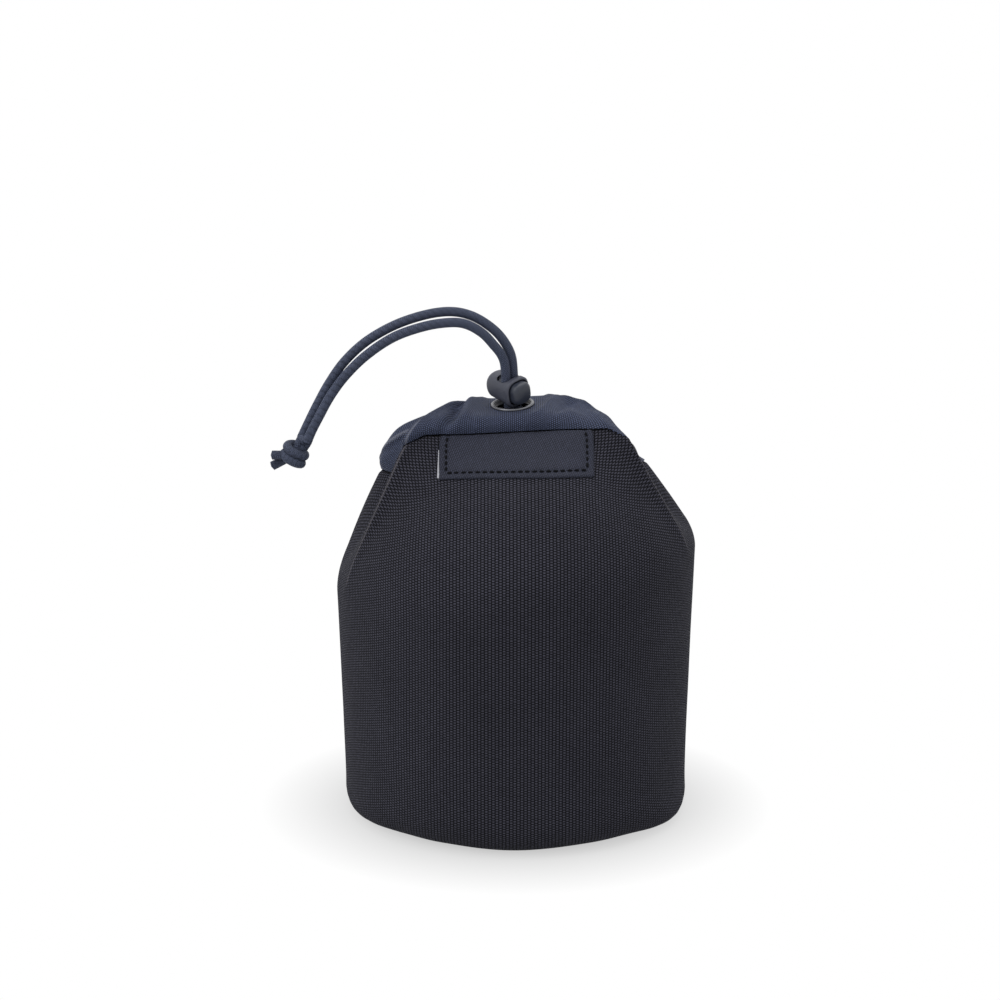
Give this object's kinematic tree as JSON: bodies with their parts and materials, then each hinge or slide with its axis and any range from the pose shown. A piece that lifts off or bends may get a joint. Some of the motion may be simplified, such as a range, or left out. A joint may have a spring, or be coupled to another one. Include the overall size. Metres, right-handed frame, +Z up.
{
  "type": "lens pouch",
  "caption": "Padded drawstring lens pouch with a round base, gathered cord channel, front label, eyelet, sliding cord lock and knotted elastic cord.",
  "frame": {"origin": "centre of the round base, on the surface that the pouch stands on", "axes": "+Z up out of the mouth, -Y towards the front with the label and the eyelet, +X to the right as seen from the front"},
  "size_m": [0.1343, 0.1174, 0.1693],
  "materials": {
    "body_weave": "heavy basket weave, matt",
    "padding": "closed-cell foam, matt",
    "lining": "smooth plain weave",
    "binding": "ribbed tape, matt",
    "channel_weave": "fine plain weave, slight sheen",
    "label_weave": "satin woven label",
    "eyelet_metal": "gunmetal, satin",
    "cord_braid": "braided cover over elastic",
    "lock_plastic": "fine moulded grain",
    "spring_steel": "drawn wire"
  },
  "bodies": {
    "pouch": {"body_panel": "body_weave", "base_panel": "body_weave", "wall_foam": "padding", "base_foam": "padding", "wall_lining": "lining", "base_lining": "lining", "base_binding": "binding", "back_seam_binding": "binding", "mouth_seam_binding": "binding", "cord_channel": "channel_weave", "front_label": "label_weave", "eyelet_barrel": "eyelet_metal", "eyelet_washer": "eyelet_metal", "drawcord_loop": "cord_braid", "drawcord_strand_outer": "cord_braid", "drawcord_strand_inner": "cord_braid", "drawcord_knot": "cord_braid"},
    "cord_lock": {"lock_barrel": "lock_plastic", "lock_spring": "spring_steel"},
    "lock_button": {"lock_plunger": "lock_plastic"}
  },
  "joints": [
    {"name": "lock_slide", "type": "slide", "parent": "pouch", "child": "cord_lock", "axis": [-0.0999, -0.2996, 0.9488], "range_m": [0, 0.005]},
    {"name": "button_press", "type": "slide", "parent": "cord_lock", "child": "lock_button", "axis": [-0.6492, 0.7423, 0.1661], "range_m": [0, 0.0018], "stiffness_N_per_m": 800, "springref_m": -0.003, "deforming": ["lock_spring"]}
  ]
}
